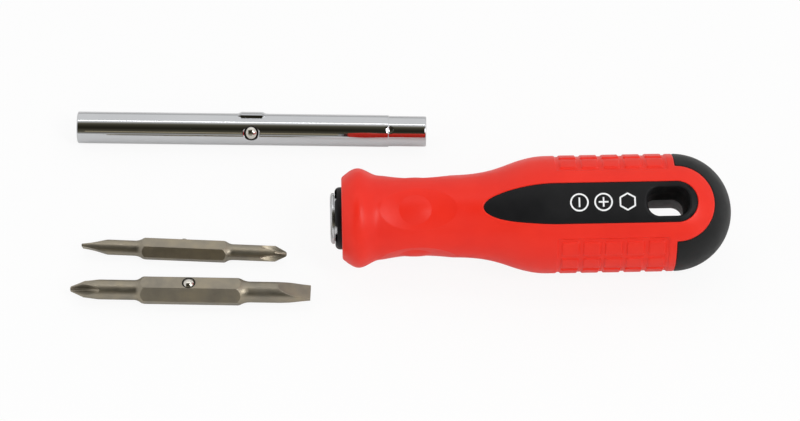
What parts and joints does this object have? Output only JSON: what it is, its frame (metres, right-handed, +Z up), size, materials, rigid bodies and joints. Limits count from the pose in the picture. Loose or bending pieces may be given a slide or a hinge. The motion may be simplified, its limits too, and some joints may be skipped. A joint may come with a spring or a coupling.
{
  "type": "multi-bit screwdriver",
  "caption": "Multi-bit screwdriver laid out in pieces: soft-grip handle with hanging hole, hollow shaft with a hex socket at each end, and double-ended cross and flat bits with ball detents.",
  "frame": {"origin": "on the table, at the middle of the layout's box", "axes": "+X along the layout from the bits towards the handle's butt, +Z up from the table"},
  "size_m": [0.2076, 0.078, 0.0366],
  "materials": {
    "core_plastic": "satin moulded black plastic",
    "grip_rubber": "satin red thermoplastic rubber",
    "ferrule_steel": "plated steel",
    "shaft_chrome": "polished chrome plate",
    "plug_steel": "plain turned steel",
    "ball_steel": "polished bearing ball",
    "spring_steel": "drawn spring wire",
    "bit_steel": "satin blasted tool steel"
  },
  "bodies": {
    "handle": {"handle_core": "core_plastic", "grip_sleeve": "grip_rubber", "ferrule": "ferrule_steel"},
    "shaft": {"shaft_tube": "shaft_chrome", "shaft_plug": "plug_steel", "shaft_spring": "spring_steel"},
    "shaft_detent": {"shaft_ball": "ball_steel"},
    "large_bit": {"large_bit_body": "bit_steel", "large_bit_spring": "spring_steel"},
    "large_bit_detent": {"large_bit_ball": "ball_steel"},
    "small_bit": {"small_bit_body": "bit_steel", "small_bit_spring": "spring_steel"},
    "small_bit_detent": {"small_bit_ball": "ball_steel"}
  },
  "joints": [
    {"name": "shaft_insertion", "type": "slide", "parent": "handle", "child": "shaft", "axis": [0.9999, -0.0164, 0], "range_m": [0, 0.0611]},
    {"name": "large_bit_insertion", "type": "slide", "parent": "handle", "child": "large_bit", "axis": [0.9998, -0.022, 0], "range_m": [0, 0.0527]},
    {"name": "small_bit_insertion", "type": "slide", "parent": "handle", "child": "small_bit", "axis": [-0.9986, 0.0523, 0], "range_m": [0, 0.0431]},
    {"name": "shaft_ball_press", "type": "slide", "parent": "shaft", "child": "shaft_detent", "axis": [0.0138, 0.8433, -0.5373], "range_m": [0, 0.00068], "stiffness_N_per_m": 150, "springref_m": -0.0002, "deforming": ["shaft_spring"]},
    {"name": "large_bit_ball_press", "type": "slide", "parent": "large_bit", "child": "large_bit_detent", "axis": [0, 0, -1], "range_m": [0, 0.00088], "stiffness_N_per_m": 150, "springref_m": -0.0002, "deforming": ["large_bit_spring"]},
    {"name": "small_bit_ball_press", "type": "slide", "parent": "small_bit", "child": "small_bit_detent", "axis": [-0.0453, -0.8648, -0.5], "range_m": [0, 0.00056], "stiffness_N_per_m": 150, "springref_m": -0.0002, "deforming": ["small_bit_spring"]}
  ]
}
